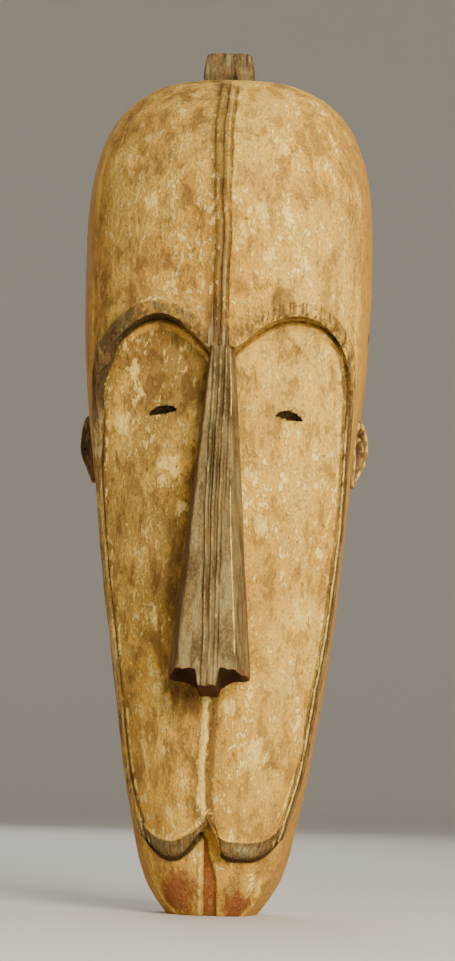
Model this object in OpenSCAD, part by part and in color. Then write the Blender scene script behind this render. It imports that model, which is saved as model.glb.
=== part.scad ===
// Carved wooden mask: a hollow face shell with a let-in nose, two tenoned ears and a crest lug.
// X runs across the face, Y from the face (negative) to the back (positive), and Z up.
// The origin is the middle of the footprint, on the surface that the mask stands on.

/* [Head] */
// Height of the carved head, without the crest lug
head_h = 582; // [560:1:600]
// Greatest width of the head, at the forehead
head_w = 201; // [192:1:210]
// Depth from the back rim to the front of the forehead
forehead_d = 98; // [96:1:102]
// Depth from the back rim to the tip of the nose
overall_d = 120; // [118:1:126]
// Thickness of the side walls at the rim
wall = 14; // [13:1:16]
// Depth of the hollow behind the face
hollow_d = 64; // [58:1:66]

/* [Face] */
// Height of the brow line at the temples, as a share of the head's height
temple_share = 0.605; // [0.6:0.001:0.63]
// Rise of each brow arch above the temples
brow_rise = 50; // [44:1:54]
// Drop from the top of each brow arch to its inner end
brow_drop = 24; // [20:1:28]
// Place of the left brow's top between the middle and the border
brow_peak_left = 0.5; // [0.45:0.01:0.6]
// Place of the right brow's top between the middle and the border
brow_peak_right = 0.58; // [0.5:0.01:0.65]
// Height of the raised lip along the brows
brow_lip = 3; // [1:0.5:4]
// Height of the dark bands along the jaw
band_h = 13; // [11:1:15]
// Depth of the groove down the chin
chin_groove_d = 5; // [3:0.5:6]
// Depth of the valley between the nose and the chin
valley_d = 3.5; // [2:0.5:4]
// Height of the ridge in that valley
ridge_h = 2.5; // [1:0.5:3]
// Distance of the left eye slit from the middle
eye_left_x = 40; // [38:0.5:46]
// Distance of the right eye slit from the middle
eye_right_x = 46.5; // [42:0.5:51]
// Height of the eye slits above the foot
eye_z = 338; // [332:1:344]
// Width of each eye slit
eye_w = 19; // [18:0.5:22]
// Height of each eye slit
eye_h = 6; // [5.6:0.1:7]

/* [Nose] */
// Height of the nose bridge above the foot
nose_top = 381; // [376:1:384]
// Height of the nostril rim above the foot
nose_foot = 163; // [158:1:170]
// Width of the nose at the nostrils
nose_w = 54; // [50:1:58]
// Width of the nose at the bridge
bridge_w = 17; // [15:1:20]
// How far the foot of the nose leans to the right of the middle
nose_lean = -3; // [-3:0.5:3]
// Depth, from the back rim, of the flat seat that the nose is let into
seat_d = 74; // [73:0.5:75]

/* [Ears and crest lug] */
// Height of the middle of the ears above the foot
ear_z = 317; // [312:1:322]
// Height of each ear
ear_h = 47; // [44:1:54]
// How far each ear stands out from its seat
ear_out = 14; // [13:0.5:16]
// Distance of the ear seats from the middle
ear_seat_x = 86.5; // [86:0.5:87]
// How far the crest lug stands to the right of the middle
lug_x = -3; // [-6:0.5:6]
// Width of the crest lug at its foot
lug_w = 36; // [31:1:38]
// Height of the crest lug above the crown
lug_h = 18; // [16:1:22]

/* [Pegs and holes] */
// Radius of the dowels behind the nose
dowel_r = 4; // [3.5:0.1:4.2]
// Radius of the pegs that lock the ears and the lug
peg_r = 2.2; // [2:0.1:2.4]
// Radius of the two tie holes in the side walls
tie_r = 3; // [2.5:0.1:3.2]

/* [Hidden] */
$fn = 48;
kaolin = [0.80, 0.66, 0.44];
brown = [0.45, 0.35, 0.22];
pale_peg = [0.66, 0.52, 0.34];

play = 0.05;          // gap around every peg, dowel and tenon
seam = 0.15;          // gap around the let-in foot of a nose, ear or lug
half_w = head_w / 2;
rim_y = overall_d / 2;
crown_z = 0.7376 * head_h;
temple_z = temple_share * head_h;
jaw_z0 = 0.064 * head_h;
jaw_rise = 16;        // from the lowest point of each cheek up to the border
jaw_cleft = 19;       // from there up to the middle
jaw_low_share = 0.56; // place of the lowest point between the middle and the border
bridge_share = 0.1;   // half of the gap between the brows, as a share of the border
brow_round_left = 1.7; // how square the outer shoulder of each brow arch is
brow_round_right = 2.2;
cleft_round_left = 1.5; // how steeply each cheek drops away from the middle
cleft_round_right = 5;
jaw_step = 1.5;       // height of the undercut below the cheeks
brow_step = 2;        // height of the undercut below the brows
nose_tip_d = overall_d;
bridge_d = forehead_d;
lug_seat_z = head_h - 8;
lug_mid_d = 16;
lug_deep = 26;
tenon_r = 8;
tenon_len = 20;
ear_tenon_r = 5;
ear_tenon_len = 10.5;
ear_mid_d = 24;
ear_peg_x = ear_seat_x - 3.7;
forehead_hollow = 14;
ear_lean = 20;        // turn of the ear's face towards the front
tie_z = 400;
tie_d = 15;
peg_deep = 26;

// ---- Curves ----

function clamp(v) = max(0, min(1, v));
function ease(v) = let (c = clamp(v)) c * c * (3 - 2 * c);
function mix(a, b, t) = a + (b - a) * t;
// Superellipse: 1 at s = 0, falling to 0 at s = 1; m is the second exponent if it differs
function round_over(s, n, m = undef) =
    pow(max(0, 1 - pow(clamp(s), n)), 1 / (is_undef(m) ? n : m));

function slope_at(p, i) =
    let (a = max(0, i - 1), b = min(len(p) - 1, i + 1))
    (p[b][1] - p[a][1]) / (p[b][0] - p[a][0]);
// Smooth curve through a few [place, value] pairs
function curve(p, v, i = 0) =
    v <= p[0][0] ? p[0][1]
    : i >= len(p) - 1 ? p[len(p) - 1][1]
    : v > p[i + 1][0] ? curve(p, v, i + 1)
    : let (h = p[i + 1][0] - p[i][0], t = (v - p[i][0]) / h)
      (2 * t * t * t - 3 * t * t + 1) * p[i][1]
      + (t * t * t - 2 * t * t + t) * h * slope_at(p, i)
      + (3 * t * t - 2 * t * t * t) * p[i + 1][1]
      + (t * t * t - t * t) * h * slope_at(p, i + 1);

// Shares of the head's height against shares of the half width, the forehead's depth, or a plain number
outline = [[0, 0.31], [0.017, 0.385], [0.043, 0.47], [0.086, 0.54], [0.189, 0.65],
           [0.343, 0.777], [0.515, 0.884], [0.64, 0.97], [0.7376, 1]];
head_depths = [[0, 0.47], [0.03, 0.57], [0.08, 0.66], [0.13, 0.74], [0.26, 0.83],
               [0.43, 0.89], [0.57, 0.94], [0.69, 0.99], [0.7376, 1]];
plate_depths = [[0.06, 0.77], [0.12, 0.81], [0.26, 0.83], [0.43, 0.825], [0.57, 0.81], [0.72, 0.81]];
fullness = [[0, 2.6], [0.09, 3.0], [0.17, 3.6], [0.56, 3.6], [0.7, 2.7], [0.8, 2.5]];
border = [[0, 0.2], [0.017, 0.29], [0.043, 0.37], [0.09, 0.466], [0.16, 0.59], [0.25, 0.672],
          [0.367, 0.77], [0.484, 0.838], [0.6, 0.872], [0.7, 0.882], [0.75, 0.885]];

function crown(z) = (z - crown_z) / (head_h - crown_z);
function half_width(z) =
    half_w * (z < crown_z ? curve(outline, z / head_h) : round_over(crown(z), 3.7, 2.7));
function head_depth(z) =
    forehead_d * (z < crown_z ? curve(head_depths, z / head_h) : round_over(crown(z), 2.5));
// Distance of the face's border from the middle
function border_x(z) =
    z < crown_z ? half_w * curve(border, z / head_h) : 0.885 * half_width(z);
function head_surface(x, z) =
    head_depth(z) * round_over(abs(x) / half_width(z), curve(fullness, z / head_h));
function plate_surface(x, z) =
    let (b = border_x(z), mid = forehead_d * curve(plate_depths, z / head_h))
    mix(mid, head_surface(b, z), pow(clamp(abs(x) / b), 2.3));

// The two lines that cross the face: u is 0 in the middle and 1 at the border
function brow_z(u) =
    let (peak = u < 0 ? brow_peak_left : brow_peak_right, x = abs(u),
         n = u < 0 ? brow_round_left : brow_round_right)
    x > peak ? temple_z + brow_rise * round_over((x - peak) / (1 - peak), n)
             : temple_z + brow_rise - brow_drop * pow(clamp((peak - x) / (peak - bridge_share)), 1.9);
function jaw_z(u) =
    let (low = jaw_low_share, x = abs(u))
    jaw_z0 + (x > low ? jaw_rise * pow((x - low) / (1 - low), 3)
                      : jaw_cleft * pow((low - x) / low, u < 0 ? cleft_round_left : cleft_round_right));

// ---- The outer skin, as rows of [x, y, z] points from the right rim to the left rim ----

face_columns = [0, 0.014, 0.028, 0.043, 0.056, 0.075, 0.11, 0.17, 0.25, 0.36, 0.48, 0.6, 0.71,
                0.81, 0.89, 0.945, 0.975, 1];
side_steps = 6;
chin_rows = [0, 0.15, 0.4, 0.7, 0.9, 1];
band_t = band_h / (0.567 * head_h);
plate_rows = concat([0, 0.35 * band_t, band_t, band_t + 0.008],
                    [for (i = [0 : 29]) mix(band_t + 0.025, 1, i / 29)]);
crown_rows = [for (i = [0 : 17]) i < 3 ? [0, 0.03, 0.07][i] : mix(0.1, 1, sin(90 * (i - 2) / 15))];

// Two reeds side by side down the forehead, with a groove between them and one at each side
reed_w = 5;
reed_h = 2;
reed_groove = 1;
function reeds(x) =
    let (a = abs(x))
    a > reed_w + 1 ? 0 : mix(-reed_groove, reed_h, round_over(abs(a - reed_w / 2) / (reed_w / 2), 2));
function hump(x, w) = 1 - ease(abs(x) / w);

// Depth of the carved surface: part 0 is the chin, 1 the face plate, 2 the forehead
function carved(x, z, part, t, on_border) =
    part == 0 ? head_surface(x, z) - chin_groove_d * hump(x, 6)
    : part == 1 ? plate_surface(x, z) + (t <= band_t ? 1.6 : 0) + (on_border ? 2 : 0)
                  + (ridge_h * hump(x, 2.4) - valley_d * hump(x, 16)) * ease((nose_foot - z) / 20)
    : head_surface(x, z) + brow_lip * (1 - ease(t / 0.09)) + reeds(x) * ease((head_h - 6 - z) / 20);

function height(u, part, t) =
    part == 0 ? jaw_z(u) * t
    : part == 1 ? mix(jaw_z(u) + jaw_step, brow_z(u), t)
    : mix(brow_z(u) + brow_step, head_h - 0.1, t);

function face_point(u, part, t) =
    let (z = height(u, part, t), x = border_x(z) * u)
    [x, rim_y - carved(x, z, part, t, abs(u) == 1), z];
// k runs from 1 at the border to 0 at the rim, round the side of the head
function side_point(k, sign, part, t) =
    let (z = height(1, part, t), w = half_width(z), n = curve(fullness, z / head_h),
         a = acos(pow(border_x(z) / w, n / 2)) * k)
    [sign * w * pow(cos(a), 2 / n), rim_y - head_depth(z) * pow(sin(a), 2 / n), z];

function skin_row(part, t) = concat(
    [for (i = [0 : side_steps - 1]) side_point(i / side_steps, 1, part, t)],
    [for (i = [len(face_columns) - 1 : -1 : 0]) face_point(face_columns[i], part, t)],
    [for (i = [1 : len(face_columns) - 1]) face_point(-face_columns[i], part, t)],
    [for (i = [side_steps - 1 : -1 : 0]) side_point(i / side_steps, -1, part, t)]);

// ---- The hollow ----

hollow_foot = 24;
hollow_top = head_h - 30;
hollow_steps = 18;
function dome(z) = (z - crown_z) / (hollow_top - crown_z);
function hollow_width(z) =
    (z < crown_z ? half_width(z) - wall : (half_w - wall) * round_over(dome(z), 2.8))
    * round_over((80 - z) / 60, 2.2);
// deeper behind the forehead than behind the face
function hollow_depth(z) =
    (hollow_d + forehead_hollow * ease((z - 395) / 60)) * round_over(dome(z), 2.4)
    * round_over((150 - z) / 131, 2.2);
hollow_levels = [for (k = [0 : 22]) mix(hollow_foot, hollow_top - 0.4, 0.5 - 0.5 * cos(180 * k / 22))];
function hollow_row(z) =
    let (w = hollow_width(z), d = hollow_depth(z), n = 2.8)
    concat([[w, rim_y + 2, z]],
           [for (i = [0 : hollow_steps])
               let (a = 180 * i / hollow_steps, c = cos(a))
               [sign(c) * w * pow(abs(c), 2 / n), rim_y - d * pow(max(0, sin(a)), 2 / n), z]],
           [[-w, rim_y + 2, z]]);

// ---- Shared building blocks ----

// Closed solid through rows of points that all have the same count, bottom row first
module loft(rows) {
    n = len(rows[0]);
    last = len(rows) - 1;
    // Point that every corner of an end row can be seen from
    function hub(r) = mix((r[0] + r[n - 1]) / 2, r[floor(n / 2)], 0.15);
    foot_hub = (last + 1) * n;
    polyhedron(
        points = concat([for (r = rows) each r], [hub(rows[0]), hub(rows[last])]),
        faces = [for (i = [0 : n - 1])
            let (j = (i + 1) % n) each concat(
                [[foot_hub, j, i], [foot_hub + 1, last * n + i, last * n + j]],
                [for (k = [0 : last - 1]) let (a = k * n, b = a + n) each
                    [[a + i, a + j, b + i], [b + i, a + j, b + j]]])]);
}

// A flat shape drawn across the face (x, z), pushed from depth d0 to depth d1
module through_face(d0, d1) {
    translate([0, rim_y - d0, 0]) rotate([90, 0, 0]) linear_extrude(d1 - d0) children();
}

// A round bar that runs from depth d0 to depth d1
module bar(x, z, r, d0, d1) {
    translate([x, rim_y - d0, z]) rotate([90, 0, 0]) cylinder(r = r, h = d1 - d0);
}

// ---- Nose ----

dowel_heights = [360, 280, 200];
// 0 at the foot of the nose and 1 at the bridge
function nose_rise(z) = clamp((z - nose_foot) / (nose_top - nose_foot));
function nose_half(z) = mix(nose_w, bridge_w, nose_rise(z)) / 2;
function nose_front(z) = mix(nose_tip_d, bridge_d, nose_rise(z));
function nose_mid(z) = nose_lean * (1 - nose_rise(z));
module nose_footprint(gap) {
    offset(delta = gap)
        polygon([for (s = [-1, 1], z = s < 0 ? [nose_top, nose_foot] : [nose_foot, nose_top])
                    [nose_mid(z) + s * nose_half(z), z]]);
}
// Half of one cross-section, from the seat to the middle
function nose_profile(z) =
    let (h = nose_half(z), f = nose_front(z), plane = 0.62 * h, g = min(5.2, 0.42 * h))
    [[h, seat_d], [h, seat_d + 6], [0.93 * h, mix(seat_d, f, 0.5)], [plane, f - 3.2], [g + 0.9, f - 0.8],
     [g, f - 2], [g - 0.9, f - 0.2], [0.9, f], [0, f - 1.6]];
function nose_row(z) =
    let (p = nose_profile(z), n = len(p), mid = nose_mid(z))
    concat([for (i = [0 : n - 1]) [mid + p[i][0], rim_y - p[i][1], z]],
           [for (i = [n - 2 : -1 : 0]) [mid - p[i][0], rim_y - p[i][1], z]]);

module nose() {
    septum_d = nose_tip_d - 4;
    septum_w = 16;
    color(brown) difference() {
        union() {
            loft([for (k = [0 : 9]) nose_row(mix(nose_foot, nose_top, k / 9))]);
            translate([nose_lean - septum_w / 2, rim_y - septum_d, nose_foot - 11])
                cube([septum_w, septum_d - seat_d - 9, 13]);
        }
        for (s = [-1, 1])
            translate([nose_lean + s * 17, rim_y - nose_tip_d + 18, nose_foot - 1])
                rotate([-8, s * 6, 0]) cylinder(r1 = 7.8, r2 = 3, h = 19);
        for (z = dowel_heights) bar(0, z, dowel_r, seat_d - 1, seat_d + 12);
    }
}

module nose_dowels() {
    color(pale_peg) for (z = dowel_heights) bar(0, z, dowel_r - play, hollow_d + 2, seat_d + 11);
}

// ---- Ears ----

// Outline of an ear seen from its side: y towards the back, z up, about its own middle
module ear_outline(grow) {
    hull() {
        translate([0, ear_h / 2 - 15]) circle(r = 15 + grow);
        translate([-2, -ear_h / 2 + 9]) circle(r = 9 + grow);
    }
}

// Pushes a side-view shape outwards along +X from distance x0 to distance x1
module through_side(x0, x1) {
    translate([x0, rim_y - ear_mid_d, ear_z]) rotate([90, 0, 90]) linear_extrude(x1 - x0) children();
}

module ear_right() {
    color(brown) difference() {
        union() {
            difference() {
                through_side(ear_seat_x, ear_seat_x + ear_out) ear_outline(0);
                // the outer face slopes down towards the cheek
                translate([ear_seat_x + ear_out, rim_y - ear_mid_d + 15, ear_z - ear_h])
                    rotate([0, 0, -ear_lean]) translate([0, -60, 0]) cube([30, 80, 2 * ear_h]);
                through_side(ear_seat_x + 5, ear_seat_x + ear_out + 1) hull() {
                    translate([1, ear_h / 2 - 16]) circle(r = 9.5);
                    translate([-1, -ear_h / 2 + 13]) circle(r = 5);
                }
            }
            through_side(ear_seat_x + 4.9, ear_seat_x + 8.5) translate([-3, -2]) circle(r = 5);
            translate([ear_seat_x - ear_tenon_len, rim_y - ear_mid_d, ear_z])
                rotate([0, 90, 0]) cylinder(r = ear_tenon_r, h = ear_tenon_len + 1);
        }
        bar(ear_peg_x, ear_z, peg_r, -1, peg_deep);
    }
}

module ear_left() {
    mirror([1, 0, 0]) ear_right();
}

module ear_pegs() {
    color(pale_peg) for (s = [-1, 1]) bar(s * ear_peg_x, ear_z, peg_r - play, 0.2, peg_deep - 1);
}

// ---- Crest lug ----

module crest_lug() {
    top = head_h + lug_h;
    tip_w = 0.81 * lug_w;
    color(brown) difference() {
        union() {
            through_face(lug_mid_d - lug_deep / 2, lug_mid_d + lug_deep / 2) translate([lug_x, 0])
                polygon([[-lug_w / 2, lug_seat_z], [lug_w / 2, lug_seat_z], [lug_w / 2 - 1, head_h + 3],
                         [tip_w / 2 + 0.6, top - 3], [tip_w / 2 - 2.5, top],
                         [-tip_w / 2 + 2.5, top], [-tip_w / 2 - 0.6, top - 3], [-lug_w / 2 + 1, head_h + 3]]);
            translate([lug_x, rim_y - lug_mid_d, lug_seat_z - tenon_len])
                cylinder(r = tenon_r, h = tenon_len + 1);
        }
        bar(lug_x, lug_seat_z - 11, peg_r, -1, peg_deep);
    }
}

module crest_peg() {
    color(pale_peg) bar(lug_x, lug_seat_z - 11, peg_r - play, 0.2, peg_deep - 1);
}

// ---- Shell ----

module eye_slit(x) {
    through_face(hollow_d - 30, forehead_d) translate([x, eye_z])
        polygon([for (i = [0 : 15]) let (a = 22.5 * i) [eye_w / 2 * cos(a), eye_h / 2 * sin(a)]]);
}

module mask_shell() {
    color(kaolin) difference() {
        loft(concat([for (t = chin_rows) skin_row(0, t)],
                    [for (t = plate_rows) skin_row(1, t)],
                    [for (t = crown_rows) skin_row(2, t)]));
        loft([for (z = hollow_levels) hollow_row(z)]);
        through_face(seat_d, forehead_d + 12) nose_footprint(seam);
        for (z = dowel_heights) bar(0, z, dowel_r, hollow_d - 6, seat_d + 1);
        eye_slit(-eye_left_x);
        eye_slit(eye_right_x);
        for (s = [-1, 1]) {
            mirror([s < 0 ? 1 : 0, 0, 0]) {
                through_side(ear_seat_x, ear_seat_x + 30) ear_outline(seam);
                translate([ear_seat_x - 30, rim_y - ear_mid_d, ear_z])
                    rotate([0, 90, 0]) cylinder(r = ear_tenon_r + play, h = 31);
                bar(ear_peg_x, ear_z, peg_r, -1, peg_deep);
            }
        }
        translate([-head_w, rim_y - tie_d, tie_z]) rotate([0, 90, 0]) cylinder(r = tie_r, h = 2 * head_w);
        translate([lug_x - lug_w / 2 - seam, rim_y - lug_mid_d - lug_deep / 2 - seam, lug_seat_z])
            cube([lug_w + 2 * seam, lug_deep + 2 * seam, 20]);
        translate([lug_x, rim_y - lug_mid_d, lug_seat_z - 40]) cylinder(r = tenon_r + play, h = 41);
        bar(lug_x, lug_seat_z - 11, peg_r, -1, peg_deep);
    }
}

mask_shell();
nose();
nose_dowels();
ear_left();
ear_right();
ear_pegs();
crest_lug();
crest_peg();
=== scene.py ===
"""Looks of a carved wooden mask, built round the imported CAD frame.

The face looks along -Y, +X is the viewer's right and Z is up. The carved surface follows the
same curves as the CAD shell, with the tool marks, grooves and paint that the CAD leaves out.
Lengths are in millimetres up to the point where a mesh is made, which MM turns into metres. The
stage and the shader nodes take metres.
"""

import math

import bpy
import numpy as np
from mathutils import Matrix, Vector, kdtree, noise


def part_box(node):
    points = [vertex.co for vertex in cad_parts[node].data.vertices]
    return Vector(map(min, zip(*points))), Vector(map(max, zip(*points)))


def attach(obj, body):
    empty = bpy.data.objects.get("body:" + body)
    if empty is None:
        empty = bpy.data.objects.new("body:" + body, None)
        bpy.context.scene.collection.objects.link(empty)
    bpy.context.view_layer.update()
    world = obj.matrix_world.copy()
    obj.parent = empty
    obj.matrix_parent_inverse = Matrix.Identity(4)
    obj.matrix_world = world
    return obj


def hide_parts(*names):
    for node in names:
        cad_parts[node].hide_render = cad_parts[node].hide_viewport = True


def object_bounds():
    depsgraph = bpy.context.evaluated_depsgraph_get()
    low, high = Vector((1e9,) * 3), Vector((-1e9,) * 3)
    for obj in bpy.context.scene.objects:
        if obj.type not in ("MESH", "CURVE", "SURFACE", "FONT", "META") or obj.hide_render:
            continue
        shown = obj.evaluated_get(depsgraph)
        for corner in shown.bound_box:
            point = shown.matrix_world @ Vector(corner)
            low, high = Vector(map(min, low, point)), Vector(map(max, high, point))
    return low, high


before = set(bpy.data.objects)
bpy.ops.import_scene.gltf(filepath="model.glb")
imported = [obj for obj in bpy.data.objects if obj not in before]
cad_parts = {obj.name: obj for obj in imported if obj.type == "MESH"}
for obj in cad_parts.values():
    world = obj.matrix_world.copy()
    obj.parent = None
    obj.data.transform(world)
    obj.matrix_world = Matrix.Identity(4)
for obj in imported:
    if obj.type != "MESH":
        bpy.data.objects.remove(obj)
cad_low, cad_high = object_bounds()

MM = 0.001
_, shell_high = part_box("mask_shell")
nose_low, nose_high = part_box("nose")
ear_low, ear_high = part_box("ear_right")
lug_low, lug_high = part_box("crest_lug")

# ---- Sizes ----

CROWN_GAP = 0.1  # the CAD's top row stops this far under the crown
HEAD_H = shell_high.z / MM + CROWN_GAP
HALF_W = shell_high.x / MM
RIM_Y = shell_high.y / MM
FOREHEAD_D = 98
WALL = 14
HOLLOW_D = 64
FOREHEAD_HOLLOW = 14
HOLLOW_TOP = HEAD_H - 30
CROWN_Z = 0.7376 * HEAD_H

TEMPLE_Z = 0.605 * HEAD_H
BROW_RISE = 50
BROW_DROP = 24
BROW_PEAKS = (0.5, 0.58)  # left and right, as shares of the border
BROW_ROUNDS = (1.7, 2.2)
BRIDGE_SHARE = 0.1
BROW_STEP = 3
BROW_LIP = 3

JAW_Z = 0.064 * HEAD_H
JAW_RISE = 16
JAW_CLEFT = 19
JAW_LOW_SHARE = 0.56
CLEFT_ROUNDS = (1.5, 5)
JAW_STEP = 1.5
BAND_H = 13

NOSE_SEAT = 74
NOSE_TIP_D = RIM_Y - nose_low.y / MM
BRIDGE_D = FOREHEAD_D
NOSE_FOOT = 163
NOSE_TOP = nose_high.z / MM
NOSE_W = 54
BRIDGE_W = 17
NOSE_LEAN = -3

TIE_Z = 400
TIE_D = 15
TIE_R = 3

# Shares of the head's height against shares of the half width or of the forehead's depth
OUTLINE = [(0, 0.31), (0.017, 0.385), (0.043, 0.47), (0.086, 0.54), (0.189, 0.65),
           (0.343, 0.777), (0.515, 0.884), (0.64, 0.97), (0.7376, 1)]
HEAD_DEPTHS = [(0, 0.47), (0.03, 0.57), (0.08, 0.66), (0.13, 0.74), (0.26, 0.83),
               (0.43, 0.89), (0.57, 0.94), (0.69, 0.99), (0.7376, 1)]
PLATE_DEPTHS = [(0.06, 0.77), (0.12, 0.81), (0.26, 0.83), (0.43, 0.825), (0.57, 0.81), (0.72, 0.81)]
FULLNESS = [(0, 2.6), (0.09, 3.0), (0.17, 3.6), (0.56, 3.6), (0.7, 2.7), (0.8, 2.5)]
BORDER = [(0, 0.2), (0.017, 0.29), (0.043, 0.37), (0.09, 0.466), (0.16, 0.59), (0.25, 0.672),
          (0.367, 0.77), (0.484, 0.838), (0.6, 0.872), (0.7, 0.882), (0.75, 0.885)]


# ---- Curves ----


def clamp(v):
    return np.clip(v, 0.0, 1.0)


def ease(v):
    c = clamp(v)
    return c * c * (3 - 2 * c)


def mix(a, b, t):
    return a + (b - a) * t


def round_over(s, n, m=None):
    """Superellipse: 1 at s = 0, falling to 0 at s = 1; m is the second exponent if it differs."""
    return np.power(1 - np.power(clamp(s), n), 1 / (n if m is None else m))


def ramp(v, start, length):
    """Eases from 0 at start to 1 at start + length; a negative length runs the other way."""
    return ease((v - start) / length)


def hump(x, w):
    """1 in the middle, easing to 0 at a distance w."""
    return 1 - ease(np.abs(x) / w)


def join(*parts):
    """Coordinates put together as points."""
    return np.stack(np.broadcast_arrays(*parts), axis=-1)


def by_side(pair, u):
    return np.where(u < 0, pair[0], pair[1])


def curve(points, v):
    """Smooth curve through a few (place, value) pairs."""
    xs, ys = np.array(points, float).T
    before = np.maximum(np.arange(len(xs)) - 1, 0)
    after = np.minimum(np.arange(len(xs)) + 1, len(xs) - 1)
    slopes = (ys[after] - ys[before]) / (xs[after] - xs[before])
    v = np.clip(v, xs[0], xs[-1])
    i = np.clip(np.searchsorted(xs, v, side="right") - 1, 0, len(xs) - 2)
    h = xs[i + 1] - xs[i]
    t = (v - xs[i]) / h
    return ((2 * t**3 - 3 * t**2 + 1) * ys[i] + (t**3 - 2 * t**2 + t) * h * slopes[i]
            + (3 * t**2 - 2 * t**3) * ys[i + 1] + (t**3 - t**2) * h * slopes[i + 1])


def circle(count):
    """Angles evenly round a circle."""
    return np.linspace(0, 2 * math.pi, count, endpoint=False)


def spread(weight, count, low, high):
    """Places from low to high that lie closer together where weight is larger."""
    fine = np.linspace(low, high, 4001)
    total = np.concatenate([[0], np.cumsum((weight(fine)[1:] + weight(fine)[:-1]) / 2)])
    return np.interp(np.linspace(0, total[-1], count), total, fine)


def lumps(points, size, seed, octaves=3, tall=1.0):
    """Noise of about -1 to 1 at each point, with lumps of the given size, stretched upwards by tall."""
    scaled = points / np.array([size, size, size * tall]) + seed * 17.31
    values = [noise.fractal(Vector(p), 1.0, 2.0, octaves) for p in scaled.reshape(-1, 3)]
    return np.array(values).reshape(points.shape[:-1])


# ---- The head's smooth form ----


def share(z):
    return z / HEAD_H


def crown(z):
    return (z - CROWN_Z) / (HEAD_H - CROWN_Z)


def half_width(z):
    return HALF_W * np.where(z < CROWN_Z, curve(OUTLINE, share(z)), round_over(crown(z), 3.7, 2.7))


def head_depth(z):
    return FOREHEAD_D * np.where(z < CROWN_Z, curve(HEAD_DEPTHS, share(z)), round_over(crown(z), 2.5))


def border_x(z):
    """Distance of the face's border from the middle."""
    return np.where(z < CROWN_Z, HALF_W * curve(BORDER, share(z)), 0.885 * half_width(z))


def head_surface(x, z):
    return head_depth(z) * round_over(np.abs(x) / half_width(z), curve(FULLNESS, share(z)))


def sway(z):
    """How far the carver let the head drift to the right, most at the mouth."""
    return 1.6 * hump(z - 170, 150)


def plate_surface(x, z):
    edge = border_x(z)
    middle = FOREHEAD_D * curve(PLATE_DEPTHS, share(z))
    return mix(middle, head_surface(edge, z), clamp(np.abs(x) / edge) ** 2.3)


def brow_z(u):
    """Height of the brow line: u is 0 in the middle and 1 at the border."""
    x, peak = np.abs(u), by_side(BROW_PEAKS, u)
    outer = BROW_RISE * round_over((x - peak) / (1 - peak), by_side(BROW_ROUNDS, u))
    inner = BROW_RISE - BROW_DROP * clamp((peak - x) / (peak - BRIDGE_SHARE)) ** 1.9
    return TEMPLE_Z + np.where(x > peak, outer, inner)


def jaw_z(u):
    """Height of the line under the cheeks."""
    x, low = np.abs(u), JAW_LOW_SHARE
    outer = JAW_RISE * clamp((x - low) / (1 - low)) ** 3
    inner = JAW_CLEFT * clamp((low - x) / low) ** by_side(CLEFT_ROUNDS, u)
    return JAW_Z + np.where(x > low, outer, inner)


# ---- Meshes ----

# Masks stored on the points of a mesh, three to a colour attribute. Brown, red and pale also carry some
# painted shade and painted highlights, and cavity and stain carry painted shade.
ATTRIBUTES = {
    "paint": ("brown", "red", "pale"),
    "wear_and_shade": ("bare", "cavity", "stain"),
    "marks": ("cuts", "grey", "crack"),
}
MASKS = [name for names in ATTRIBUTES.values() for name in names]


def grid_faces(rows, columns, start=0, closed=False):
    """Quads between neighbouring rows of vertices; closed joins the last column to the first."""
    r, c = np.meshgrid(np.arange(rows - 1), np.arange(columns if closed else columns - 1), indexing="ij")
    a = start + r * columns + c
    b = start + r * columns + (c + 1) % columns
    return join(a, b, b + columns, a + columns).reshape(-1, 4).tolist()


def tube_faces(rows, columns, start=0, ends=2):
    """The wall of a tube of rings, its first end and, where ends is 2, its last."""
    faces = grid_faces(rows, columns, start, closed=True)
    faces.append([start + i for i in reversed(range(columns))])
    if ends == 2:
        faces.append([start + (rows - 1) * columns + i for i in range(columns)])
    return faces


def flipped(faces):
    return [face[::-1] for face in faces]


def grid_normals(points):
    """Unit outward normals of a grid of points that runs to the left and upwards."""
    normal = np.cross(np.gradient(points, axis=0), np.gradient(points, axis=1))
    return normal / np.maximum(np.linalg.norm(normal, axis=-1, keepdims=True), 1e-6)


def store_masks(mesh, masks):
    """Writes the masks onto the mesh's points, with 0 for any that are missing."""
    count = len(mesh.vertices)
    for label, names in ATTRIBUTES.items():
        colours = np.ones((count, 4), np.float32)
        for i, name in enumerate(names):
            colours[:, i] = clamp(np.broadcast_to(np.ravel(masks.get(name, 0.0)), count))
        attribute = mesh.color_attributes.new(label, "FLOAT_COLOR", "POINT")
        attribute.data.foreach_set("color", colours.ravel())


def joined_masks(*parts):
    """Masks of several grids in one mesh, from pairs of a grid's masks and its shape."""
    flat = [{name: np.broadcast_to(masks.get(name, 0.0), shape).ravel() for name in MASKS}
            for masks, shape in parts]
    return {name: np.concatenate([part[name] for part in flat]) for name in MASKS}


def make_mesh(name, points, faces, masks):
    """A mesh in metres, with its masks, from points in millimetres."""
    mesh = bpy.data.meshes.new(name)
    mesh.from_pydata((points.reshape(-1, 3) * MM).tolist(), [], faces)
    store_masks(mesh, masks)
    return mesh


def show(name, data):
    """A new object in the scene."""
    thing = bpy.data.objects.new(name, data)
    bpy.context.scene.collection.objects.link(thing)
    return thing


def make_piece(name, points, faces, material, masks, sharp):
    """A smooth piece that rides on the root; edges of more than sharp degrees stay crisp."""
    mesh = make_mesh(name, points, faces, masks)
    mesh.polygons.foreach_set("use_smooth", [True] * len(mesh.polygons))
    mesh.set_sharp_from_angle(angle=math.radians(sharp))
    mesh.materials.append(material)
    piece = show(name, mesh)
    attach(piece, "root")
    return piece


def to_row_frame(form):
    """(x, depth from the rim, z) to the row frame's (x, y, z)."""
    return join(form[..., 0], RIM_Y - form[..., 1], form[..., 2])


# ---- Materials ----


DULL = 0.12  # specular level of old, dry wood and clay


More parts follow.
